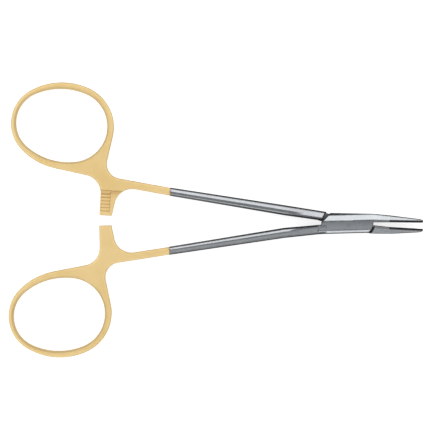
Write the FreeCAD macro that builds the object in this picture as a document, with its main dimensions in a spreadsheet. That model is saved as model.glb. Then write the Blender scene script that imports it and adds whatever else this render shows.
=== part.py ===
import FreeCAD, Part
import math
import os
import Sketcher

# Needle holder with a box lock, finger rings, a ratchet and carbide jaw inserts.
# Millimetres. The origin is on the pivot axis, in the plane of the flat underside of
# the box lock. +X runs to the jaw tips, +Y to the handle of the male half, +Z up.
# Both halves are drawn closed, with the same figures mirrored about the X axis, and
# each half is then turned about the pivot by open_half.

doc = FreeCAD.newDocument("NeedleHolder")
dims = doc.addObject("Spreadsheet::Sheet", "Dims")

SIZES = [
    ("open_half", 2.3, "turn of each half from closed, degrees"),
    # Finger ring: an egg of four tangent arcs for the hole, another for the outside.
    ("hole_x", -89.99, "widest place of the hole, along the instrument"),
    ("hole_y", 25.9, "widest place of the hole, off the symmetry axis"),
    ("hole_far", 15.28, "hole from there to its far end"),
    ("hole_near", 13.38, "hole from there to its end near the pivot"),
    ("hole_short", 11.39, "half width of the hole"),
    ("hole_end", 9.86, "radius of the far end of the hole"),
    ("ring_tilt", 5.8, "long axis dips towards the pivot, degrees"),
    ("band_far", 1.47, "band width at the far end"),
    ("band_near", 2.04, "band width at the near end"),
    ("band_side", 2.16, "band width at the sides, mean of the two"),
    ("band_corner", 1.85, "radius of the far end outside less that of the hole"),
    ("rim_shift", 0.23, "outside is widest this much nearer the pivot"),
    ("rim_drop", 0.15, "outside lies this much nearer the axis"),
    ("handle_thick", 2.9, "ring, neck and ratchet arm, up and down"),
    ("handle_round", 0.7, "rounding of the outer handle edges"),
    ("hole_bevel", 0.55, "bevel round the finger hole"),
    # Neck between ring, ratchet arm and shank: corners of the plan before rounding.
    ("arm_left", -77.7, "far side of the ratchet arm"),
    ("arm_end_right", -73.85, "near side of the ratchet arm at its end"),
    ("arm_end", -1.5, "end of the ratchet arm past the axis"),
    ("arm_root", 10.0, "corner between ring and arm"),
    ("neck_in_x", -72.2, "corner between arm and shank"),
    ("neck_in_y", 7.85, "corner between arm and shank"),
    ("neck_out_x", -77.05, "corner between ring and shank"),
    ("neck_out_y", 10.9, "corner between ring and shank"),
    ("neck_round", 5.5, "plan radius at both roots of the arm"),
    ("neck_round_out", 4.6, "plan radius between ring and shank"),
    ("stub_in", 5.75, "shank at the end of the rounded part, inner side"),
    ("stub_out", 8.18, "shank at the end of the rounded part, outer side"),
    ("stub_lap", 0.1, "rounded part reaches this far into the faceted part"),
    # Shank: stations of the faceted part, from the end of the plating to the box.
    ("plate_x", -56.0, "first station, where the plating ends"),
    ("plate_in", 5.7, "inner edge there"),
    ("plate_out", 8.25, "outer edge there"),
    ("plate_half", 1.5, "half thickness there"),
    ("waist_x", -20.0, "station where the shank turns to the box"),
    ("waist_in", 1.15, "inner edge there"),
    ("waist_out", 4.3, "outer edge there"),
    ("waist_half", 1.8, "half thickness there"),
    ("root_x", -7.0, "last station, in the box lock"),
    ("root_in", 0.2, "inner edge there"),
    ("root_out", 3.1, "outer edge there"),
    # The box lock sits a little below the middle of the shanks, in the rest position.
    ("waist_lean", 0.33, "both shanks lie this much higher where they turn to the box"),
    ("root_lean", 0.14, "the same in the box lock"),
    # Section of the shank, as shares of its width and of its half thickness.
    ("inner_rise", 0.6, "height of the inner edge"),
    ("crest_from", 0.16, "crest starts, from the inner edge"),
    ("crest_to", 0.3, "crest ends, from the inner edge"),
    ("bevel_to", 0.84, "wide bevel ends, from the inner edge"),
    ("bevel_rise", 0.78, "height of the end of the wide bevel"),
    ("outer_rise", 0.5, "height of the outer edge"),
    # Box lock.
    ("box_thick", 4.4, "box lock, up and down"),
    ("cheek_thick", 1.4, "each cheek of the female half"),
    ("tongue_play", 0.05, "gap above and below the tongue"),
    ("box_side", 3.1, "half width of the box"),
    ("cheek_side", 3.4, "the same on the jaw side, at the sloped cheek end"),
    ("box_near", -9.5, "box block starts in the female shank"),
    ("cheek_top_x", -5.14, "sloped cheek end, past the outer edge"),
    ("cheek_top_y", 3.6, "sloped cheek end, past the outer edge"),
    ("cheek_low_x", -8.24, "sloped cheek end, inner corner"),
    ("cheek_low_y", 0.64, "sloped cheek end, inner corner"),
    ("crotch_x", -8.4, "foot of the cheek on the female shank"),
    ("crotch_y", -0.22, "foot of the cheek on the female shank"),
    ("nose_x", 4.3, "centre of the rounded cheek end"),
    ("nose_y", -0.1, "centre of the rounded cheek end"),
    ("nose_round", 3.45, "radius of the rounded cheek end"),
    ("shoulder_gap", 0.3, "male shoulder clear of the cheek end"),
    ("shoulder_top_x", -6.93, "sloped male shoulder, past the outer edge"),
    ("shoulder_top_y", 3.8, "sloped male shoulder, past the outer edge"),
    ("shoulder_low_x", -8.99, "sloped male shoulder, past the inner edge"),
    ("shoulder_low_y", -0.2, "sloped male shoulder, past the inner edge"),
    # Tongue of the male half and the slot that it swings in.
    ("tongue_slope", 0.23, "fall of the tongue per mm of length"),
    ("tongue_up", 1.27, "upper edge above the pivot"),
    ("tongue_low", 1.67, "lower edge below the pivot"),
    ("tongue_back", 9.4, "tongue reaches this far into the shank"),
    ("tongue_fore", 8.5, "tongue reaches this far into the jaw"),
    ("tongue_crown", 3.2, "tongue stays below this at the shank"),
    ("tongue_foot", 2.65, "tongue stays above this at the jaw"),
    ("slot_play", 0.2, "slot wall clear of the tongue edge"),
    ("slot_stop", 2.3, "slot walls across the box, each way from the pivot"),
    # Facets of the top and bottom, measured across the box.
    ("crest_out", 0.95, "crest, outer edge"),
    ("crest_in", 0.55, "crest, inner edge"),
    ("bevel_end", 2.6, "end of the wide bevel"),
    ("bevel_drop", 0.55, "fall of the wide bevel"),
    ("side_drop", 1.05, "fall from the crest to the side wall"),
    ("cheek_drop", 1.3, "the same on the jaw side"),
    ("slope_end", 2.1, "end of the gentle slope on the other side"),
    ("slope_drop", 0.2, "fall of the gentle slope"),
    # Pivot pin, riveted flush.
    ("pin_dia", 2.0, "pivot pin"),
    ("pin_play", 0.03, "radial running clearance in the tongue"),
    # Jaws: stations from the box to the tip, each with its crest behind the insert, its
    # wide bevel and its edge bevel. Both jaws bend down from the box in the plan.
    ("insert_lean", 0.22, "both jaws lie this much lower where the insert starts"),
    ("tip_lean", 0.45, "the same at the tip"),
    ("jaw_root_x", 5.85, "male jaw starts under the nose of the cheeks"),
    ("jaw_x", 7.75, "jaw leaves the box"),
    ("jaw_face", 0.12, "inner face off the axis at the box"),
    ("jaw_out", 2.78, "outer edge there"),
    ("insert_x", 12.9, "insert starts"),
    ("insert_out", 2.4, "outer edge there"),
    ("insert_half", 1.6, "half thickness there"),
    ("insert_crest", 0.1, "crest behind the insert there"),
    ("insert_edge", 0.35, "edge bevel there, across"),
    ("insert_drop", 0.35, "fall of the wide bevel there"),
    ("insert_side", 0.65, "fall to the side wall there"),
    ("cap_x", 22.6, "tip rounding starts"),
    ("cap_out", 1.16, "outer edge there"),
    ("cap_half", 0.9, "half thickness there"),
    ("cap_crest", 0.06, "crest behind the insert there"),
    ("cap_edge", 0.15, "edge bevel there, across"),
    ("cap_drop", 0.18, "fall of the wide bevel there"),
    ("cap_side", 0.45, "fall to the side wall there"),
    ("tip_x", 23.4, "jaw tip"),
    ("tip_out", 0.82, "outer edge there"),
    ("tip_half", 0.72, "half thickness there"),
    ("tip_crest", 0.03, "crest behind the insert there"),
    ("tip_edge", 0.1, "edge bevel there, across"),
    ("tip_drop", 0.12, "fall of the wide bevel there"),
    ("tip_side", 0.3, "fall to the side wall there"),
    ("face_rear", 0.2, "insert face off the axis at its rear"),
    ("face_tip", 0.03, "insert face off the axis at the tip"),
    ("insert_thick", 0.55, "insert, face to seat"),
    # Ratchet.
    ("tooth_count", 6, "ratchet teeth on each arm"),
    ("tooth_pitch", 1.05, "ratchet tooth pitch"),
    ("tooth_deep", 0.45, "ratchet tooth depth"),
    ("tooth_first", -0.2, "first tooth edge from the axis"),
    ("tooth_wide", 3.1, "toothed part of the arm, across"),
    ("bar_gap", 0.1, "gap between the tips of the two bars"),
    ("bar_root", 6.35, "full thickness of the arm starts"),
    ("bar_right", -70.5, "thinned part of the arm, side towards the pivot"),
    ("past", 3.0, "cuts run past the metal by this much"),
]

value = {}
for line, (alias, number, note) in enumerate(SIZES, start=1):
    dims.set("A%d" % line, note)
    dims.set("B%d" % line, str(number))
    dims.setAlias("B%d" % line, alias)
    value[alias] = number
doc.recompute()

MID = "Dims.box_thick / 2"


def plane(body, role):
    for feature in body.Origin.OriginFeatures:
        if feature.Role == role:
            return feature
    raise ValueError(role)


def new_sketch(body, name, role="XY_Plane", offset=None):
    sketch = body.newObject("Sketcher::SketchObject", name)
    sketch.AttachmentSupport = (plane(body, role), [""])
    sketch.MapMode = "FlatFace"
    if offset:
        sketch.setExpression("AttachmentOffset.Base.z", offset)
    return sketch


def pin_point(sketch, geo, pos, across, along):
    """Tie one sketch point to two expressions."""
    spot = sketch.getPoint(geo, pos)
    for kind, start, text in (("DistanceX", spot.x, across), ("DistanceY", spot.y, along)):
        number = sketch.addConstraint(Sketcher.Constraint(kind, -1, 1, geo, pos, start))
        sketch.setExpression("Constraints[%d]" % number, text)


def polygon(sketch, corners):
    """Closed polygon, each corner tied to a pair of expressions."""
    count = len(corners)
    spots = [FreeCAD.Vector(math.cos(2 * math.pi * k / count), math.sin(2 * math.pi * k / count), 0)
             for k in range(count)]
    first = sketch.GeometryCount
    for k in range(count):
        sketch.addGeometry(Part.LineSegment(spots[k], spots[(k + 1) % count]), False)
    for k in range(count):
        sketch.addConstraint(Sketcher.Constraint(
            "Coincident", first + k, 2, first + (k + 1) % count, 1))
    for k, (across, along) in enumerate(corners):
        pin_point(sketch, first + k, 1, across, along)


def symmetric(feature, length):
    feature.Midplane = True
    feature.setExpression("Length", length)


def pad(body, name, sketch, length, middle=True):
    feature = body.newObject("PartDesign::Pad", name)
    feature.Profile = sketch
    if middle:
        symmetric(feature, length)
    else:
        feature.setExpression("Length", length)
    doc.recompute()
    return feature


def pocket(body, name, sketch, length=None, reverse=False):
    """Cut both ways from the sketch, or one way when a side is named."""
    before = body.Shape.Volume
    feature = body.newObject("PartDesign::Pocket", name)
    feature.Profile = sketch
    if length is None:
        symmetric(feature, "2 * (Dims.box_thick + Dims.past)")
    else:
        feature.setExpression("Length", length)
        feature.Reversed = reverse
    doc.recompute()
    if body.Shape.Volume > before - 1e-3:
        raise ValueError(name + " cuts nothing")
    return feature


def loft(body, name, sections):
    feature = body.newObject("PartDesign::AdditiveLoft", name)
    feature.Profile = sections[0]
    feature.Sections = sections[1:]
    feature.Ruled = True
    doc.recompute()
    return feature


def dress(body, kind, name, edges, size):
    """Fillet or chamfer on named edges of the body so far."""
    base = body.Tip
    feature = body.newObject("PartDesign::" + kind, name)
    feature.Base = (base, edges)
    feature.setExpression("Radius" if kind == "Fillet" else "Size", size)
    doc.recompute()
    return feature


def upright_edges(body, spots):
    """Names of the vertical edges that pass by the given plan points."""
    names = []
    for number, edge in enumerate(body.Tip.Shape.Edges, start=1):
        low, high = edge.BoundBox.ZMin, edge.BoundBox.ZMax
        if high - low < 0.5:
            continue
        middle = edge.CenterOfMass
        for x, y in spots:
            if math.hypot(middle.x - x, middle.y - y) < 0.05:
                names.append("Edge%d" % number)
    if len(names) != len(spots):
        raise ValueError("edges found: %d of %d" % (len(names), len(spots)))
    return names


def rim_edges(body, levels):
    """Names of the edges that lie flat in one of the given levels."""
    names = []
    for number, edge in enumerate(body.Tip.Shape.Edges, start=1):
        box = edge.BoundBox
        if any(abs(box.ZMin - z) < 1e-4 and abs(box.ZMax - z) < 1e-4 for z in levels):
            names.append("Edge%d" % number)
    return names


def near_wall(body, name, spots):
    """Whether the named edge passes over one of the given plan points."""
    edge = body.Tip.Shape.getElement(name)
    return any(edge.distToShape(Part.Vertex(spot.x, spot.y, edge.BoundBox.ZMin))[0] < 1e-3
               for spot in spots)


def arc_through(sketch, start, middle, end):
    """Arc by three points; returns its number and which of its ends the first point is."""
    geo = sketch.addGeometry(Part.Arc(start, middle, end), False)
    near = sketch.getPoint(geo, 1).distanceToPoint(start) < 1e-6
    return geo, (1, 2) if near else (2, 1)


def ring_figures(band):
    """Figures of the hole or of the outside of the ring, as numbers and as expressions.

    Side radius and near radius follow from the lengths and the far radius by tangency.
    """
    text = {"far": "Dims.hole_far", "near": "Dims.hole_near", "short": "Dims.hole_short",
            "far_end": "Dims.hole_end", "shift": "0", "drop": "0"}
    number = {"far": value["hole_far"], "near": value["hole_near"],
              "short": value["hole_short"], "far_end": value["hole_end"],
              "shift": 0, "drop": 0}
    if band:
        text = {"far": "(Dims.hole_far + Dims.band_far + Dims.rim_shift)",
                "near": "(Dims.hole_near + Dims.band_near - Dims.rim_shift)",
                "short": "(Dims.hole_short + Dims.band_side)",
                "far_end": "(Dims.hole_end + Dims.band_corner)",
                "shift": "Dims.rim_shift", "drop": "Dims.rim_drop"}
        number = {"far": value["hole_far"] + value["band_far"] + value["rim_shift"],
                  "near": value["hole_near"] + value["band_near"] - value["rim_shift"],
                  "short": value["hole_short"] + value["band_side"],
                  "far_end": value["hole_end"] + value["band_corner"],
                  "shift": value["rim_shift"], "drop": value["rim_drop"]}
    far, near, short, end = (number[key] for key in ("far", "near", "short", "far_end"))
    side = (far ** 2 + short ** 2 - 2 * far * end) / (2 * (short - end))
    number["side"] = side
    number["near_end"] = (short * (2 * side - short) - near ** 2) / (2 * (side - near))
    text["side"] = "((%s ^ 2 + %s ^ 2 - 2 * %s * %s) / (2 * (%s - %s)))" % (
        text["far"], text["short"], text["far"], text["far_end"], text["short"],
        text["far_end"])
    text["near_end"] = "((%s * (2 * %s - %s) - %s ^ 2) / (2 * (%s - %s)))" % (
        text["short"], text["side"], text["short"], text["near"], text["side"],
        text["near"])
    return number, text


def oval(sketch, sign, band, neck=False):
    """Ring outline of four tangent arcs: pivot end, outer side, far end, inner side.

    The centres and one radius are tied to the sizes and tangency gives the rest.
    With neck, the pivot end and the inner side stop where the neck leaves the ring.
    """
    tilt = math.radians(value["ring_tilt"])
    number, text = ring_figures(band)
    side, side_off = number["side"], number["side"] - number["short"]
    near_off = number["near"] - number["near_end"]
    far_off = number["far_end"] - number["far"]

    def spot(u, v):
        u, v = u + number["shift"], v - number["drop"]
        return FreeCAD.Vector(
            value["hole_x"] + u * math.cos(tilt) + v * math.sin(tilt),
            sign * (value["hole_y"] - u * math.sin(tilt) + v * math.cos(tilt)), 0)

    def on_arc(centre, radius, angle):
        return spot(centre[0] + radius * math.cos(math.radians(angle)),
                    centre[1] + radius * math.sin(math.radians(angle)))

    def joint(offset, end, way):
        bend = end / (side - end)
        return spot(offset * (1 + bend), way * side_off * bend)

    corners = [joint(near_off, number["near_end"], -1), joint(near_off, number["near_end"], 1),
               joint(far_off, number["far_end"], 1), joint(far_off, number["far_end"], -1)]
    if neck:
        pivot_end = arc_through(sketch, on_arc((near_off, 0), number["near_end"], -12),
                                on_arc((near_off, 0), number["near_end"], 10), corners[1])
    else:
        pivot_end = arc_through(sketch, corners[0], spot(number["near"], 0), corners[1])
    outer_side = arc_through(sketch, corners[1], spot(0, number["short"]), corners[2])
    far_end = arc_through(sketch, corners[2], spot(-number["far"], 0), corners[3])
    if neck:
        inner_side = arc_through(sketch, corners[3], on_arc((0, side_off), side, -97),
                                 on_arc((0, side_off), side, -93))
    else:
        inner_side = arc_through(sketch, corners[3], spot(0, -number["short"]), corners[0])

    cos_text, sin_text = "cos(Dims.ring_tilt * 1deg)", "sin(Dims.ring_tilt * 1deg)"

    def tie_centre(geo, u, v):
        u, v = "(%s + %s)" % (u, text["shift"]), "(%s - %s)" % (v, text["drop"])
        pin_point(sketch, geo, 3,
                  "Dims.hole_x + %s * %s + %s * %s" % (u, cos_text, v, sin_text),
                  "%d * (Dims.hole_y - %s * %s + %s * %s)" % (sign, u, sin_text, v, cos_text))

    tie_centre(pivot_end[0], "%s - %s" % (text["near"], text["near_end"]), "0")
    tie_centre(far_end[0], "%s - %s" % (text["far_end"], text["far"]), "0")
    tie_centre(outer_side[0], "0", "%s - %s" % (text["short"], text["side"]))
    if neck:
        tie_centre(inner_side[0], "0", "%s - %s" % (text["side"], text["short"]))
    radius = sketch.addConstraint(
        Sketcher.Constraint("Radius", far_end[0], number["far_end"]))
    sketch.setExpression("Constraints[%d]" % radius, text["far_end"])
    chain = [pivot_end, outer_side, far_end, inner_side]
    for one, other in zip(chain, chain[1:] + ([] if neck else chain[:1])):
        sketch.addConstraint(Sketcher.Constraint(
            "Tangent", one[0], one[1][1], other[0], other[1][0]))
    if not neck:
        sketch.addConstraint(Sketcher.Constraint("Equal", outer_side[0], inner_side[0]))
    return pivot_end, inner_side


def handle(body, sign):
    """Finger ring, neck and ratchet arm as one rounded plate."""
    plan = new_sketch(body, "handle_plan", offset=MID)
    pivot_end, inner_side = oval(plan, sign, band=True, neck=True)
    corners = [("arm_left", "arm_root"), ("arm_left", "arm_end"),
               ("arm_end_right", "arm_end"), ("neck_in_x", "neck_in_y"),
               ("plate_x", "stub_in"), ("plate_x", "stub_out"),
               ("neck_out_x", "neck_out_y")]
    spots = [plan.getPoint(inner_side[0], inner_side[1][1])]
    spots += [FreeCAD.Vector(value[x], sign * value[y], 0) for x, y in corners]
    spots += [plan.getPoint(pivot_end[0], pivot_end[1][0])]
    first = plan.GeometryCount
    for k in range(len(spots) - 1):
        plan.addGeometry(Part.LineSegment(spots[k], spots[k + 1]), False)
    last = first + len(spots) - 2
    for k in range(first, last):
        plan.addConstraint(Sketcher.Constraint("Coincident", k, 2, k + 1, 1))
    for k, (x, y) in enumerate(corners, start=first + 1):
        lap = " + Dims.stub_lap" if x == "plate_x" else ""
        pin_point(plan, k, 1, "Dims." + x + lap, "%d * Dims.%s" % (sign, y))
    plan.addConstraint(Sketcher.Constraint(
        "Tangent", inner_side[0], inner_side[1][1], first, 1))
    plan.addConstraint(Sketcher.Constraint(
        "Tangent", pivot_end[0], pivot_end[1][0], last, 2))
    pad(body, "handle_plate", plan, "Dims.handle_thick")
    roots = [("arm_left", "arm_root"), ("neck_in_x", "neck_in_y")]
    dress(body, "Fillet", "arm_roots",
          upright_edges(body, [(value[x], sign * value[y]) for x, y in roots]),
          "Dims.neck_round")
    dress(body, "Fillet", "neck_root",
          upright_edges(body, [(value["neck_out_x"], sign * value["neck_out_y"])]),
          "Dims.neck_round_out")
    half = value["handle_thick"] / 2
    middle = value["box_thick"] / 2
    levels = (middle - half, middle + half)
    dress(body, "Fillet", "handle_rounding", rim_edges(body, levels), "Dims.handle_round")
    hole = new_sketch(body, "finger_hole_plan", offset=MID)
    oval(hole, sign, band=False)
    pocket(body, "finger_hole", hole)
    walls = [arc.value((arc.FirstParameter + arc.LastParameter) / 2) for arc in hole.Geometry]
    rims = [name for name in rim_edges(body, levels) if near_wall(body, name, walls)]
    dress(body, "Chamfer", "hole_bevel", rims, "Dims.hole_bevel")


def section(body, name, station, upper):
    """Cross-section at one station: upper chain and its mirror below mid-height."""
    sketch = new_sketch(body, name, "YZ_Plane", station)
    corners = [(across, "%s + %s" % (MID, rise)) for across, rise in upper]
    corners += [(across, "%s - %s" % (MID, rise)) for across, rise in reversed(upper)]
    polygon(sketch, corners)
    return sketch


def shank(body, sign):
    """Faceted part of the shank, its crest near the inner edge."""
    shares = [("0", "Dims.inner_rise"), ("Dims.crest_from", "1"), ("Dims.crest_to", "1"),
              ("Dims.bevel_to", "Dims.bevel_rise"), ("1", "Dims.outer_rise")]
    stations = [("plate", "Dims.plate_half", "0"),
                ("waist", "Dims.waist_half", "Dims.waist_lean"),
                ("root", "Dims.box_thick / 2", "Dims.root_lean")]
    sections = []
    for name, half, lean in stations:
        near = "Dims.%s_in" % name
        width = "(Dims.%s_out - Dims.%s_in)" % (name, name)
        upper = [("%d * (%s + %s * %s) + %s" % (sign, near, across, width, lean),
                  "%s * (%s)" % (rise, half)) for across, rise in shares]
        sections.append(section(body, name + "_section", "Dims.%s_x" % name, upper))
    loft(body, "shank", sections)


INSERT_STATIONS = [("insert", "insert_lean", "face_rear"), ("cap", "tip_lean", "face_tip"),
                   ("tip", "tip_lean", "face_tip")]


def jaw(body, sign, root=None):
    """Jaw: flat inside, with a crest, a wide bevel and a narrow edge bevel."""
    stations = [("jaw", "0", "Dims.jaw_face", "Dims.crest_out", "Dims.bevel_end", "Dims.jaw_out",
                 MID, "Dims.bevel_drop", "(Dims.bevel_drop + Dims.jaw_out - Dims.bevel_end)")]
    for name, lean, face in INSERT_STATIONS:
        size = "Dims.%s_" % name
        stations.append((name, "Dims." + lean, "Dims." + face,
                         "Dims.%s + Dims.insert_thick + %screst" % (face, size),
                         "%sout - %sedge" % (size, size), size + "out", size + "half",
                         size + "drop", size + "side"))
    sections = []
    for name, lean, face, crest, edge, out, half, drop, side in stations:
        upper = [("%d * (%s) - %s" % (sign, face, lean), half),
                 ("%d * (%s) - %s" % (sign, crest, lean), half),
                 ("%d * (%s) - %s" % (sign, edge, lean), "(%s - %s)" % (half, drop)),
                 ("%d * (%s) - %s" % (sign, out, lean), "(%s - %s)" % (half, side))]
        if root and not sections:
            sections.append(section(body, "root_jaw_section", root, upper))
        sections.append(section(body, name + "_jaw_section", "Dims.%s_x" % name, upper))
    loft(body, "jaw", sections)


def insert_seat(body, sign):
    """Step in the jaw face that the carbide insert is brazed into."""
    plan = new_sketch(body, "insert_seat_plan")
    rear = "%d * (Dims.face_rear + Dims.insert_thick) - Dims.insert_lean" % sign
    tip = "%d * (Dims.face_tip + Dims.insert_thick) - Dims.tip_lean" % sign
    polygon(plan, [("Dims.insert_x", rear), ("Dims.cap_x", tip),
                   ("Dims.tip_x + Dims.past", tip),
                   ("Dims.tip_x + Dims.past", "%d * Dims.past" % -sign),
                   ("Dims.insert_x", "%d * Dims.past" % -sign)])
    pocket(body, "insert_seat", plan)


def ratchet(body, sign):
    """Half the arm is cut away and the rest gets saw teeth; the bars pass each other."""
    up = sign > 0
    level = MID + (" - " if up else " + ") + "Dims.bar_gap / 2"
    plan = new_sketch(body, "bar_plan", offset=level)
    end = "%d * (Dims.arm_end - Dims.past)" % sign
    polygon(plan, [("Dims.arm_left - Dims.past", end), ("Dims.bar_right", end),
                   ("Dims.bar_right", "%d * Dims.bar_root" % sign),
                   ("Dims.arm_left - Dims.past", "%d * Dims.bar_root" % sign)])
    pocket(body, "bar", plan, "Dims.handle_thick", reverse=up)
    edge = "%d * Dims.tooth_first" % sign
    tooth = new_sketch(body, "tooth_profile", "YZ_Plane", "Dims.arm_left - Dims.past")
    polygon(tooth, [(edge, "%s %s Dims.tooth_deep" % (level, "-" if up else "+")),
                    ("%s + %d * Dims.tooth_pitch" % (edge, sign), level),
                    (edge, level)])
    first = pocket(body, "tooth_gap", tooth, "Dims.tooth_wide + Dims.past", reverse=True)
    row = body.newObject("PartDesign::LinearPattern", "tooth_row")
    row.Originals = [first]
    row.Direction = (plane(body, "Y_Axis"), [""])
    row.Reversed = not up
    row.setExpression("Length", "(Dims.tooth_count - 1) * Dims.tooth_pitch")
    row.setExpression("Occurrences", "Dims.tooth_count")
    body.Tip = row
    doc.recompute()


def disc(body, name, radius, centre=("0", "0")):
    """Sketch of one circle in plan."""
    plan = new_sketch(body, name)
    circle = plan.addGeometry(Part.Circle(FreeCAD.Vector(), FreeCAD.Vector(0, 0, 1), 1), False)
    pin_point(plan, circle, 3, centre[0], centre[1])
    number = plan.addConstraint(Sketcher.Constraint("Radius", circle, 1.0))
    plan.setExpression("Constraints[%d]" % number, radius)
    return plan


def turn(body, angle):
    body.Placement = FreeCAD.Placement(
        FreeCAD.Vector(), FreeCAD.Rotation(FreeCAD.Vector(0, 0, 1), 1))
    body.setExpression("Placement.Rotation.Angle", angle)


def new_body(name, angle):
    body = doc.addObject("PartDesign::Body", name)
    body.Label = name
    turn(body, angle)
    return body


BOX_TOP = [("Dims.cheek_side", "Dims.box_thick - Dims.cheek_drop"),
           ("Dims.bevel_end", "Dims.box_thick - Dims.bevel_drop"),
           ("Dims.crest_out", "Dims.box_thick"),
           ("Dims.crest_in", "Dims.box_thick"),
           ("-Dims.slope_end", "Dims.box_thick - Dims.slope_drop"),
           ("-Dims.box_side", "Dims.box_thick - Dims.side_drop")]
BOX_BOTTOM = [("-Dims.box_side", "Dims.side_drop"),
              ("-Dims.slope_end", "0"),
              ("Dims.crest_out", "0"),
              ("Dims.bevel_end", "Dims.bevel_drop"),
              ("Dims.cheek_side", "Dims.cheek_drop")]


def box_block(body):
    """Box of the female half: facets along it, then its plan, then the slot."""
    across = new_sketch(body, "box_section", "YZ_Plane", "Dims.box_near")
    polygon(across, BOX_TOP + BOX_BOTTOM)
    pad(body, "box", across, "Dims.jaw_x - Dims.box_near", middle=False)
    # Proximal end: the sloped cheek edge and the crotch above the female shank.
    near = new_sketch(body, "cheek_end_plan")
    polygon(near, [("Dims.cheek_top_x", "Dims.cheek_top_y"),
                   ("Dims.cheek_low_x", "Dims.cheek_low_y"),
                   ("Dims.crotch_x", "Dims.crotch_y"),
                   ("Dims.box_near - Dims.past", "Dims.crotch_y"),
                   ("Dims.box_near - Dims.past", "Dims.cheek_top_y")])
    pocket(body, "cheek_end", near)
    # The jaw side of the cheeks narrows to the width of the jaw.
    taper = new_sketch(body, "cheek_taper_plan")
    polygon(taper, [("Dims.cheek_top_x", "Dims.cheek_side"),
                    ("Dims.jaw_x", "Dims.jaw_out"),
                    ("Dims.jaw_x", "Dims.cheek_side + Dims.past"),
                    ("Dims.cheek_top_x", "Dims.cheek_side + Dims.past")])
    pocket(body, "cheek_taper", taper)
    # Distal end: what lies below the jaw and outside the rounded nose goes.
    far = new_sketch(body, "nose_plan")
    reach = value["nose_round"]
    end = reach + value["past"]
    centre = FreeCAD.Vector(value["nose_x"], value["nose_y"], 0)
    curve = Part.ArcOfCircle(Part.Circle(centre, FreeCAD.Vector(0, 0, 1), reach),
                             math.radians(-90), 0)
    arc = far.addGeometry(curve, False)
    top = far.addGeometry(Part.LineSegment(
        centre + FreeCAD.Vector(reach, 0, 0), centre + FreeCAD.Vector(end, 0, 0)), False)
    side = far.addGeometry(Part.LineSegment(
        centre + FreeCAD.Vector(end, 0, 0), centre + FreeCAD.Vector(end, -reach, 0)), False)
    base = far.addGeometry(Part.LineSegment(
        centre + FreeCAD.Vector(end, -reach, 0), centre + FreeCAD.Vector(0, -reach, 0)), False)
    far.addConstraint(Sketcher.Constraint("Coincident", arc, 2, top, 1))
    far.addConstraint(Sketcher.Constraint("Coincident", top, 2, side, 1))
    far.addConstraint(Sketcher.Constraint("Coincident", side, 2, base, 1))
    far.addConstraint(Sketcher.Constraint("Coincident", base, 2, arc, 1))
    pin_point(far, arc, 3, "Dims.nose_x", "Dims.nose_y")
    pin_point(far, top, 1, "Dims.nose_x + Dims.nose_round", "Dims.nose_y")
    pin_point(far, side, 1, "Dims.nose_x + Dims.nose_round + Dims.past", "Dims.nose_y")
    far.addConstraint(Sketcher.Constraint("Vertical", side))
    far.addConstraint(Sketcher.Constraint("Horizontal", base))
    far.addConstraint(Sketcher.Constraint("Vertical", arc, 3, arc, 1))
    pocket(body, "nose", far)


def slot(body):
    """Slot between the cheeks: the whole sweep of the tongue, open at both sides."""
    plan = new_sketch(body, "slot_plan", offset=MID)
    low = "-(Dims.tongue_low + Dims.slot_play) + Dims.tongue_slope * "
    high = "Dims.tongue_up + Dims.slot_play - Dims.tongue_slope * "
    reach, side = "(Dims.past - Dims.box_near)", "(Dims.box_side + Dims.past)"
    polygon(plan, [("-" + reach, low + reach), ("-Dims.slot_stop", low + "Dims.slot_stop"),
                   ("-Dims.slot_stop", "-" + side), (reach, "-" + side), (reach, high + reach),
                   ("Dims.slot_stop", high + "Dims.slot_stop"),
                   ("Dims.slot_stop", side), ("-" + reach, side)])
    feature = pocket(body, "slot", plan)
    feature.setExpression("Length", "Dims.box_thick - 2 * Dims.cheek_thick")
    doc.recompute()


def female_half():
    """Lower handle, box with its cheeks, upper jaw: one forging."""
    body = new_body("female_half", "Dims.open_half")
    box_block(body)
    jaw(body, 1)
    handle(body, -1)
    shank(body, -1)
    slot(body)
    pocket(body, "pin_hole", disc(body, "pin_hole_plan", "Dims.pin_dia / 2"))
    insert_seat(body, 1)
    ratchet(body, -1)
    return body


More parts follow.
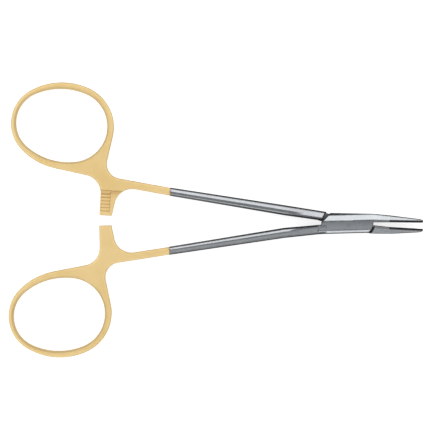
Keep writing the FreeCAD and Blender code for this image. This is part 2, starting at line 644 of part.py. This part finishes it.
def male_half():
    """Upper handle, tongue through the box, lower jaw: one forging."""
    body = new_body("male_half", "-Dims.open_half")
    handle(body, 1)
    # Jaw root, hollowed to run round the nose of the female cheeks.
    jaw(body, -1, "Dims.jaw_root_x")
    pocket(body, "jaw_shoulder",
           disc(body, "jaw_shoulder_plan", "Dims.nose_round + Dims.shoulder_gap",
                ("Dims.nose_x", "Dims.nose_y")))
    tongue_half = "(Dims.box_thick / 2 - Dims.cheek_thick - Dims.tongue_play)"
    tongue = new_sketch(body, "tongue_plan", offset=MID)
    polygon(tongue, [
        ("-Dims.tongue_back", "Dims.tongue_slope * Dims.tongue_back - Dims.tongue_low"),
        ("(Dims.tongue_foot - Dims.tongue_low) / Dims.tongue_slope", "-Dims.tongue_foot"),
        ("Dims.tongue_fore", "-Dims.tongue_foot"),
        ("Dims.tongue_fore", "Dims.tongue_up - Dims.tongue_slope * Dims.tongue_fore"),
        ("(Dims.tongue_up - Dims.tongue_crown) / Dims.tongue_slope", "Dims.tongue_crown"),
        ("-Dims.tongue_back", "Dims.tongue_crown")])
    pad(body, "tongue", tongue, "2 * " + tongue_half)
    shank(body, 1)
    # Sloped shoulder of the shank, above and below the tongue.
    for side, sign in (("upper", "+"), ("lower", "-")):
        near = new_sketch(body, side + "_shoulder_plan",
                          offset="%s %s %s" % (MID, sign, tongue_half))
        polygon(near, [("Dims.shoulder_top_x", "Dims.shoulder_top_y"),
                       ("Dims.shoulder_low_x", "Dims.shoulder_low_y"),
                       ("0", "Dims.shoulder_low_y"), ("0", "Dims.shoulder_top_y")])
        pocket(body, side + "_shoulder", near, "Dims.box_thick", reverse=side == "upper")
    pocket(body, "pin_hole",
           disc(body, "pin_hole_plan", "Dims.pin_dia / 2 + Dims.pin_play"))
    insert_seat(body, -1)
    ratchet(body, 1)
    return body


def pivot_pin():
    """Pin riveted in both cheeks and dressed flush with the box facets."""
    body = new_body("pivot_pin", "Dims.open_half")
    pad(body, "pin", disc(body, "pin_plan", "Dims.pin_dia / 2"), "Dims.box_thick",
        middle=False)
    over = new_sketch(body, "dressing", "YZ_Plane")
    polygon(over, BOX_TOP[1:5] + [("-Dims.slope_end", "Dims.box_thick + Dims.past"),
                                  ("Dims.bevel_end", "Dims.box_thick + Dims.past")])
    pocket(body, "flush", over)
    return body


def jaw_insert(name, sign, angle):
    """Carbide strip brazed in the jaw face, ground flush with the jaw."""
    body = new_body(name, angle)
    sections = []
    for station, lean, face in INSERT_STATIONS:
        half = "Dims.%s_half" % station
        upper = [("%d * Dims.%s - Dims.%s" % (sign, face, lean), half),
                 ("%d * (Dims.%s + Dims.insert_thick) - Dims.%s" % (sign, face, lean), half)]
        sections.append(section(body, station + "_section", "Dims.%s_x" % station, upper))
    loft(body, "strip", sections)
    return body


def main():
    bodies = [female_half(), male_half(), pivot_pin(),
              jaw_insert("female_jaw_insert", 1, "Dims.open_half"),
              jaw_insert("male_jaw_insert", -1, "-Dims.open_half")]
    doc.recompute()
    for item in doc.Objects:
        if "Invalid" in item.State or "Error" in item.State:
            raise ValueError(item.Name + " failed")
    for body in bodies:
        if body.Shape.isNull() or not body.Shape.isValid() or len(body.Shape.Solids) != 1:
            raise ValueError(body.Label + " is no valid single solid")
    os.makedirs("parts", exist_ok=True)
    for body in bodies:
        body.Shape.exportStep("parts/%s.step" % body.Label)
        print(body.Label, round(body.Shape.Volume, 2))


main()
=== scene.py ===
import bpy
import math
from mathutils import Matrix, Vector

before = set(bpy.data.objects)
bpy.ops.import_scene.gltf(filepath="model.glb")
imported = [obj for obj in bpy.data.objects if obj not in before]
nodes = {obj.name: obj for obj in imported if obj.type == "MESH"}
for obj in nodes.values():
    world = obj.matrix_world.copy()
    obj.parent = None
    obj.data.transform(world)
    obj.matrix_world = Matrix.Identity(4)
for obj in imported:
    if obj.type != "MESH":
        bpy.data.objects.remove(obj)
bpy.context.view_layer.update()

MM = 0.001
UP = (0, 0, 1)
EVEN = (1, 1, 1)

# Where the plating ends, and how far its edge strays.
PLATING_END, PLATING_RIPPLE = -55.65 * MM, 0.12 * MM
# The rivet is ground flush with the cheeks, so nothing is eased within this far of it.
FLUSH = (1.5 * MM, 1.9 * MM)
# Grooves of the jaw inserts.
HATCH_PITCH, HATCH_TURN, HATCH_DEPTH = 0.35 * MM, math.radians(45), 0.05 * MM

# Shank, in millimetres as the CAD draws it with the halves closed: station, inner and outer
# edge, and how much higher both shanks lie there.
STATIONS = [(-56.0, 5.7, 8.25, 0.0), (-20.0, 1.15, 4.3, 0.33), (-7.0, 0.2, 3.1, 0.14)]
INNER_EDGE, OUTER_EDGE = 1, 2
OPEN_HALF = math.radians(2.3)
SHANK_SKEW = math.radians(9.0)
# Ground facets: the tilts of the outer two, and the shares of the width over which the
# inner one (of the female and the male half) and the outer one run out into the crest.
INNER_TILT, OUTER_TILT = math.radians(-26), math.radians(16)
INNER_FACET = {-1: (0.35, 0.39), 1: (0.26, 0.3)}
OUTER_FACET = (0.5, 0.55)
FACETS_FADE = (-20.0 * MM, -14.0 * MM)
FACETS_LEVEL = (0.9, 0.94)

# The level face of the box is ground slightly crowned. It sets in and ends over these
# lengths, and from the lower edge to the crest the normal leans from one share to the other.
CROWN_START, CROWN_END = (-13.0 * MM, -10.0 * MM), (7.0 * MM, 8.0 * MM)
CROWN_ACROSS, CROWN_LEAN = (-1.9 * MM, 0.75 * MM), (-0.16, 0.07)
CROWN_LEVEL = (0.97, 0.99)

# Half thickness in millimetres over the length, about the middle plane of the instrument.
MIDDLE = 2.2 * MM
HALF_THICK = [(-56.0, 1.5), (-20.0, 1.8), (-7.0, 2.2), (7.75, 2.2), (12.9, 1.6), (22.6, 0.9),
              (23.4, 0.72)]

# Painted shade. A face counts as steep, as a wall or as level by how far its normal points up,
# an edge by how far easing turns the normal, and a crevice by how open it is.
STEEP, WALL, LEVEL = (0.7, 0.762), (0.12, 0.35), (0.8, 0.9)
LOW_ON_BEVEL = (0.6, 0.7)
EDGE = (0.986, 0.998)
CREVICE = (0.4, 0.9)
SAMPLES = 8


def new_material(name):
    material = bpy.data.materials.new(name)
    material.use_nodes = True
    tree = material.node_tree
    tree.nodes.clear()
    out = tree.nodes.new("ShaderNodeOutputMaterial")
    return material, tree, out


def add(tree, kind, **settings):
    node = tree.nodes.new(kind)
    for key, value in settings.items():
        setattr(node, key, value)
    return node


def feed(tree, socket, source):
    """Give a socket a number, a vector or the output of another node."""
    if isinstance(source, bpy.types.NodeSocket):
        tree.links.new(source, socket)
    else:
        socket.default_value = source


def maths(tree, operation, *sources, **settings):
    node = add(tree, "ShaderNodeMath", operation=operation, **settings)
    for socket, source in zip(node.inputs, sources):
        feed(tree, socket, source)
    return node.outputs["Value"]


def times(tree, first, second):
    return maths(tree, "MULTIPLY", first, second)


def plus(tree, first, second):
    return maths(tree, "ADD", first, second)


def larger(tree, first, second):
    return maths(tree, "MAXIMUM", first, second)


def vectors(tree, operation, first, second):
    """Node for the sum, product or dot product of two vectors."""
    node = add(tree, "ShaderNodeVectorMath", operation=operation)
    feed(tree, node.inputs[0], first)
    feed(tree, node.inputs[1], second)
    return node


def scaled(tree, vector, factor):
    node = add(tree, "ShaderNodeVectorMath", operation="SCALE")
    feed(tree, node.inputs["Vector"], vector)
    feed(tree, node.inputs["Scale"], factor)
    return node.outputs["Vector"]


def own_space(tree):
    """Position in the object's own space, which is the shared frame at rest."""
    return add(tree, "ShaderNodeTexCoord").outputs["Object"]


def true_normal(tree):
    return add(tree, "ShaderNodeNewGeometry").outputs["Normal"]


def split(tree, vector):
    node = add(tree, "ShaderNodeSeparateXYZ")
    tree.links.new(vector, node.inputs["Vector"])
    return node.outputs["X"], node.outputs["Y"], node.outputs["Z"]


def mapped(tree, **settings):
    """The object's own space, stretched or turned."""
    mapping = add(tree, "ShaderNodeMapping")
    tree.links.new(own_space(tree), mapping.inputs["Vector"])
    for socket, value in settings.items():
        mapping.inputs[socket].default_value = value
    return mapping.outputs["Vector"]


def to_world(tree, vector, kind):
    node = add(tree, "ShaderNodeVectorTransform", vector_type=kind, convert_from="OBJECT",
               convert_to="WORLD")
    tree.links.new(vector, node.inputs["Vector"])
    return node.outputs["Vector"]


def spread(tree, source, low, high, from_low=0.3, from_high=0.7):
    """Map one range to another. The first is the one that noise mostly stays in."""
    node = add(tree, "ShaderNodeMapRange")
    for socket, value in (("Value", source), ("From Min", from_low), ("From Max", from_high),
                          ("To Min", low), ("To Max", high)):
        feed(tree, node.inputs[socket], value)
    return node.outputs["Result"]


def blend(tree, factor, first, second, kind="VECTOR"):
    """Mix of two vectors, or of two colours."""
    mix = add(tree, "ShaderNodeMix", data_type=kind)
    feed(tree, mix.inputs["Factor"], factor)
    feed(tree, mix.inputs["A"], first)
    feed(tree, mix.inputs["B"], second)
    return mix.outputs["Result"]


def grain(tree, stretch, scale, detail):
    """Noise in the object's own space, drawn out along its length."""
    noise = add(tree, "ShaderNodeTexNoise")
    noise.inputs["Scale"].default_value = scale
    noise.inputs["Detail"].default_value = detail
    tree.links.new(mapped(tree, Scale=stretch), noise.inputs["Vector"])
    return noise.outputs["Fac"]


def hatching(tree):
    """Two sets of fine grooves that cross on the gripping face of an insert."""
    sets = []
    for turn in (-HATCH_TURN, HATCH_TURN):
        wave = add(tree, "ShaderNodeTexWave", wave_type="BANDS", bands_direction="X")
        # A wave texture of scale 1 repeats every pi / 10 metres.
        wave.inputs["Scale"].default_value = math.pi / 10 / HATCH_PITCH
        tree.links.new(mapped(tree, Rotation=(0, turn, 0)), wave.inputs["Vector"])
        sets.append(wave.outputs["Fac"])
    return times(tree, *sets)


def eased_edges(tree, radius):
    """The normal over edges that are eased by a small radius, but for the flush rivet."""
    bevel = add(tree, "ShaderNodeBevel", samples=SAMPLES)
    bevel.inputs["Radius"].default_value = radius
    plan = vectors(tree, "MULTIPLY", own_space(tree), (1, 1, 0)).outputs["Vector"]
    reach = add(tree, "ShaderNodeVectorMath", operation="LENGTH")
    tree.links.new(plan, reach.inputs[0])
    away = spread(tree, reach.outputs["Value"], 0.0, 1.0, *FLUSH)
    return blend(tree, away, true_normal(tree), bevel.outputs["Normal"])


def bump(tree, height, normal, distance, strength=1.0):
    """Surface relief on top of a normal."""
    node = add(tree, "ShaderNodeBump")
    node.inputs["Strength"].default_value = strength
    node.inputs["Distance"].default_value = distance
    tree.links.new(height, node.inputs["Height"])
    tree.links.new(normal, node.inputs["Normal"])
    return node.outputs["Normal"]


def course(tree, along, spots):
    """A measure in millimetres that runs straight from spot to spot over the length."""
    base, total = spots[0][1], None
    for (start, before), (end, after) in zip(spots, spots[1:]):
        step = spread(tree, along, base * MM, (base + after - before) * MM, start * MM, end * MM)
        total = step if total is None else plus(tree, total, step)
        base = 0.0
    return total


def shank_edge(tree, along, column, side):
    """Distance of an edge of the shank from the axis, over the length."""
    return course(tree, along, [(row[0], row[column] + side * row[3]) for row in STATIONS])


def ground_facets(tree, normal, side):
    """Tilt the normal to the three facets that are ground along the top of each shank.

    side is 1 for the male half and -1 for the female half.
    """
    drawn = mapped(tree, Scale=(1, side, 1), Rotation=(0, 0, OPEN_HALF))
    along, outwards, _ = split(tree, drawn)
    across = spread(tree, outwards, 0.0, 1.0, shank_edge(tree, along, INNER_EDGE, side),
                    shank_edge(tree, along, OUTER_EDGE, side))
    tilt = plus(tree, spread(tree, across, INNER_TILT, 0.0, *INNER_FACET[side]),
                spread(tree, across, 0.0, OUTER_TILT, *OUTER_FACET))

    rise = split(tree, true_normal(tree))[2]
    upright = times(tree, maths(tree, "COSINE", tilt), maths(tree, "SIGN", rise))
    outward = (math.sin(SHANK_SKEW), side * math.cos(SHANK_SKEW), 0)
    facet = vectors(tree, "ADD", scaled(tree, outward, maths(tree, "SINE", tilt)),
                    scaled(tree, UP, upright)).outputs["Vector"]
    where = times(tree, spread(tree, along, 1.0, 0.0, *FACETS_FADE),
                  spread(tree, maths(tree, "ABSOLUTE", rise), 0.0, 1.0, *FACETS_LEVEL))
    return blend(tree, where, normal, to_world(tree, facet, "NORMAL"))


def crowned(tree, normal):
    """Lean the normal of the box's level face to both sides, as hand grinding leaves it."""
    along, across, _ = split(tree, own_space(tree))
    rise = split(tree, true_normal(tree))[2]
    where = times(tree, spread(tree, along, 0.0, 1.0, *CROWN_START),
                  spread(tree, along, 1.0, 0.0, *CROWN_END))
    level = spread(tree, maths(tree, "ABSOLUTE", rise), 0.0, 1.0, *CROWN_LEVEL)
    lean = times(tree, spread(tree, across, *CROWN_LEAN, *CROWN_ACROSS),
                 times(tree, where, level))
    sideways = scaled(tree, (0, 1, 0), lean)
    return vectors(tree, "ADD", normal, to_world(tree, sideways, "VECTOR")).outputs["Vector"]


def height_share(tree):
    """Distance from the middle plane, as a share of the half thickness there."""
    along, _, height = split(tree, own_space(tree))
    above = maths(tree, "ABSOLUTE", maths(tree, "SUBTRACT", height, MIDDLE))
    return maths(tree, "DIVIDE", above, course(tree, along, HALF_THICK))


def painted_shade(tree, colour, flank, line, crevice, rim, gap):
    """Paint shade into a colour: darken it on steep slopes, along the edges between facets and
    in crevices.

    Each of the three is the share of the colour that is left there. The edges are as wide
    as rim, and a crevice is narrower than gap.
    """
    normal = eased_edges(tree, rim)
    level = maths(tree, "ABSOLUTE", split(tree, normal)[2])
    outline = larger(tree, spread(tree, height_share(tree), flank, 1.0, *LOW_ON_BEVEL),
                     spread(tree, level, 0.0, 1.0, *LEVEL))
    slopes = times(tree, spread(tree, level, flank, 1.0, *STEEP), outline)
    flanks = larger(tree, slopes, spread(tree, level, 1.0, 0.0, *WALL))

    turn = vectors(tree, "DOT_PRODUCT", normal, true_normal(tree)).outputs["Value"]
    lines = spread(tree, turn, line, 1.0, *EDGE)

    # Painted shade in crevices, from ambient occlusion.
    open_to = add(tree, "ShaderNodeAmbientOcclusion", samples=SAMPLES)
    open_to.inputs["Distance"].default_value = gap
    crevices = spread(tree, open_to.outputs["AO"], crevice, 1.0, *CREVICE)
    return scaled(tree, colour, times(tree, times(tree, flanks, lines), crevices))


def principled(tree, metallic, colour, roughness, normal):
    shader = add(tree, "ShaderNodeBsdfPrincipled")
    shader.inputs["Metallic"].default_value = metallic
    tree.links.new(colour, shader.inputs["Base Color"])
    tree.links.new(roughness, shader.inputs["Roughness"])
    tree.links.new(normal, shader.inputs["Normal"])
    return shader.outputs["BSDF"]


def mottled(tree, scale, dark, light):
    """Colour that clouds softly from dark to light."""
    return blend(tree, grain(tree, EVEN, scale, 2), (*dark, 1), (*light, 1), "RGBA")


def steel_shader(tree, dark, light, rough_low, rough_high, side=0, hatched=False):
    """Satin-ground steel: fine lines along the instrument and a soft mottling."""
    lines = grain(tree, (60, 900, 900), 12, 4)
    # Painted shade: the steel colour is darkened on steep flanks, along edges and in crevices.
    colour = painted_shade(tree, mottled(tree, 260, dark, light), flank=0.15, line=0.3, crevice=0.1,
                  rim=0.5 * MM, gap=1.0 * MM)
    normal = eased_edges(tree, 0.25 * MM)
    if side:
        normal = crowned(tree, ground_facets(tree, normal, side))
    if hatched:
        normal = bump(tree, hatching(tree), normal, HATCH_DEPTH)
    return principled(tree, 1.0, colour, spread(tree, lines, rough_low, rough_high),
                      bump(tree, lines, normal, 0.006 * MM, 0.5))


def gold_shader(tree):
    """Matt gold plating over the blasted handle."""
    speck = grain(tree, EVEN, 2600, 3)
    # Painted shade: the gold colour is darkened on steep flanks, along edges and in crevices.
    colour = painted_shade(tree, mottled(tree, 120, (0.79, 0.55, 0.21), (0.91, 0.69, 0.34)),
                  flank=0.76, line=0.9, crevice=0.86, rim=0.3 * MM, gap=0.5 * MM)
    normal = eased_edges(tree, 0.18 * MM)
    return principled(tree, 0.3, colour, spread(tree, speck, 0.42, 0.54),
                      bump(tree, speck, normal, 0.01 * MM, 0.5))


def half_material(name, side):
    """Steel up to the end of the plating, gold beyond it."""
    material, tree, out = new_material(name)
    steel = steel_shader(tree, (0.42, 0.44, 0.46), (0.5, 0.52, 0.54), 0.24, 0.34, side)
    gold = gold_shader(tree)
    ripple = spread(tree, grain(tree, EVEN, 1500, 2), -PLATING_RIPPLE, PLATING_RIPPLE)
    edge = plus(tree, split(tree, own_space(tree))[0], ripple)
    mix = add(tree, "ShaderNodeMixShader")
    tree.links.new(maths(tree, "LESS_THAN", edge, PLATING_END), mix.inputs["Fac"])
    tree.links.new(steel, mix.inputs[1])
    tree.links.new(gold, mix.inputs[2])
    tree.links.new(mix.outputs["Shader"], out.inputs["Surface"])
    return material


def plain_steel(name, dark, light, rough_low, rough_high, hatched=False):
    material, tree, out = new_material(name)
    steel = steel_shader(tree, dark, light, rough_low, rough_high, hatched=hatched)
    tree.links.new(steel, out.inputs["Surface"])
    return material


def dress(material, *names):
    """Give CAD nodes their finish."""
    for name in names:
        node = nodes[name]
        node.data.materials.clear()
        node.data.materials.append(material)


def floor():
    """White paper: it shows white to the camera and in reflections, and keeps the shadow."""
    reach, below = 20.0, 0.02 * MM
    paper, glow = (0.5, 0.5, 0.5, 1), 0.75
    mesh = bpy.data.meshes.new("floor")
    mesh.from_pydata([(-reach, -reach, 0), (reach, -reach, 0), (reach, reach, 0),
                      (-reach, reach, 0)], [], [(0, 1, 2, 3)])
    obj = bpy.data.objects.new("floor", mesh)
    obj.location.z = -below
    bpy.context.scene.collection.objects.link(obj)
    material, tree, out = new_material("white_paper")
    diffuse = add(tree, "ShaderNodeBsdfDiffuse")
    diffuse.inputs["Color"].default_value = paper
    emission = add(tree, "ShaderNodeEmission")
    path = add(tree, "ShaderNodeLightPath")
    seen = plus(tree, path.outputs["Is Camera Ray"], path.outputs["Is Glossy Ray"])
    seen = maths(tree, "ADD", seen, path.outputs["Is Transmission Ray"], use_clamp=True)
    tree.links.new(times(tree, seen, glow), emission.inputs["Strength"])
    both = add(tree, "ShaderNodeAddShader")
    tree.links.new(diffuse.outputs["BSDF"], both.inputs[0])
    tree.links.new(emission.outputs["Emission"], both.inputs[1])
    tree.links.new(both.outputs["Shader"], out.inputs["Surface"])
    mesh.materials.append(material)


def softbox(name, place, width, height, radiance):
    """Area lamp facing the instrument, its strength given as radiance."""
    data = bpy.data.lights.new(name, "AREA")
    data.shape = "RECTANGLE"
    data.size, data.size_y = width, height
    data.energy = radiance * math.pi * width * height
    lamp = bpy.data.objects.new(name, data)
    lamp.location = place
    aim = Vector((-0.03, 0, 0)) - Vector(place)
    lamp.rotation_euler = aim.to_track_quat("-Z", "Y").to_euler()
    bpy.context.scene.collection.objects.link(lamp)


def studio():
    """Softboxes on all sides, under a sky that is darker on the key's side."""
    world = bpy.data.worlds.new("studio")
    bpy.context.scene.world = world
    world.use_nodes = True
    tree = world.node_tree
    back = tree.nodes["Background"]
    back.inputs["Color"].default_value = (0.97, 0.98, 1.0, 1)
    _, sideways, upwards = split(tree, add(tree, "ShaderNodeTexCoord").outputs["Generated"])
    height = spread(tree, upwards, 0.15, 0.46, 0.15, 0.9)
    away_from_key = spread(tree, sideways, 1.15, 0.4, -0.3, 0.12)
    tree.links.new(times(tree, height, away_from_key), back.inputs["Strength"])
    softbox("key", (-0.04, 0.56, 0.57), 2.3, 0.5, 1.75)
    softbox("back", (-0.04, -0.66, 0.45), 2.3, 0.3, 1.1)
    softbox("fill", (-0.04, -0.78, 0.16), 1.6, 0.2, 1.7)
    softbox("left", (-0.75, 0, 0.6), 0.8, 0.5, 2.0)
    softbox("right", (0.7, 0, 0.6), 0.8, 0.5, 2.0)


def camera():
    """Straight down, rolled 0.7 degrees, at the photograph's scale of 3.2 px per mm."""
    roll = math.radians(0.7)
    px_per_mm, frame_px = 3.2, 433.0
    pivot_px = (348.0, 223.4)
    right = (frame_px / 2 - pivot_px[0]) / px_per_mm * MM
    up = (pivot_px[1] - frame_px / 2) / px_per_mm * MM
    data = bpy.data.cameras.new("camera")
    data.lens, data.sensor_width = 135.0, 36.0
    data.clip_start, data.clip_end = 0.01, 20.0
    away = frame_px / px_per_mm * MM * data.lens / data.sensor_width
    cam = bpy.data.objects.new("camera", data)
    centre = Matrix.Rotation(roll, 3, "Z") @ Vector((right, up, 0))
    cam.location = (centre.x, centre.y, MIDDLE + away)
    cam.rotation_euler = (0, 0, roll)
    bpy.context.scene.collection.objects.link(cam)
    bpy.context.scene.camera = cam


dress(half_material("female_steel_and_gold", -1), "female_half")
dress(half_material("male_steel_and_gold", 1), "male_half")
dress(plain_steel("riveted_pin", (0.44, 0.46, 0.48), (0.5, 0.52, 0.54), 0.22, 0.3), "pivot_pin")
# The inserts are near black: partly carbide's own darker grey, partly painted shade of their
# shadowed faces.
dress(plain_steel("carbide_with_painted_shade", (0.045, 0.045, 0.048), (0.08, 0.08, 0.084), 0.34, 0.46,
                  hatched=True), "female_jaw_insert", "male_jaw_insert")
floor()
studio()
camera()
bpy.context.scene.view_settings.view_transform = "Standard"
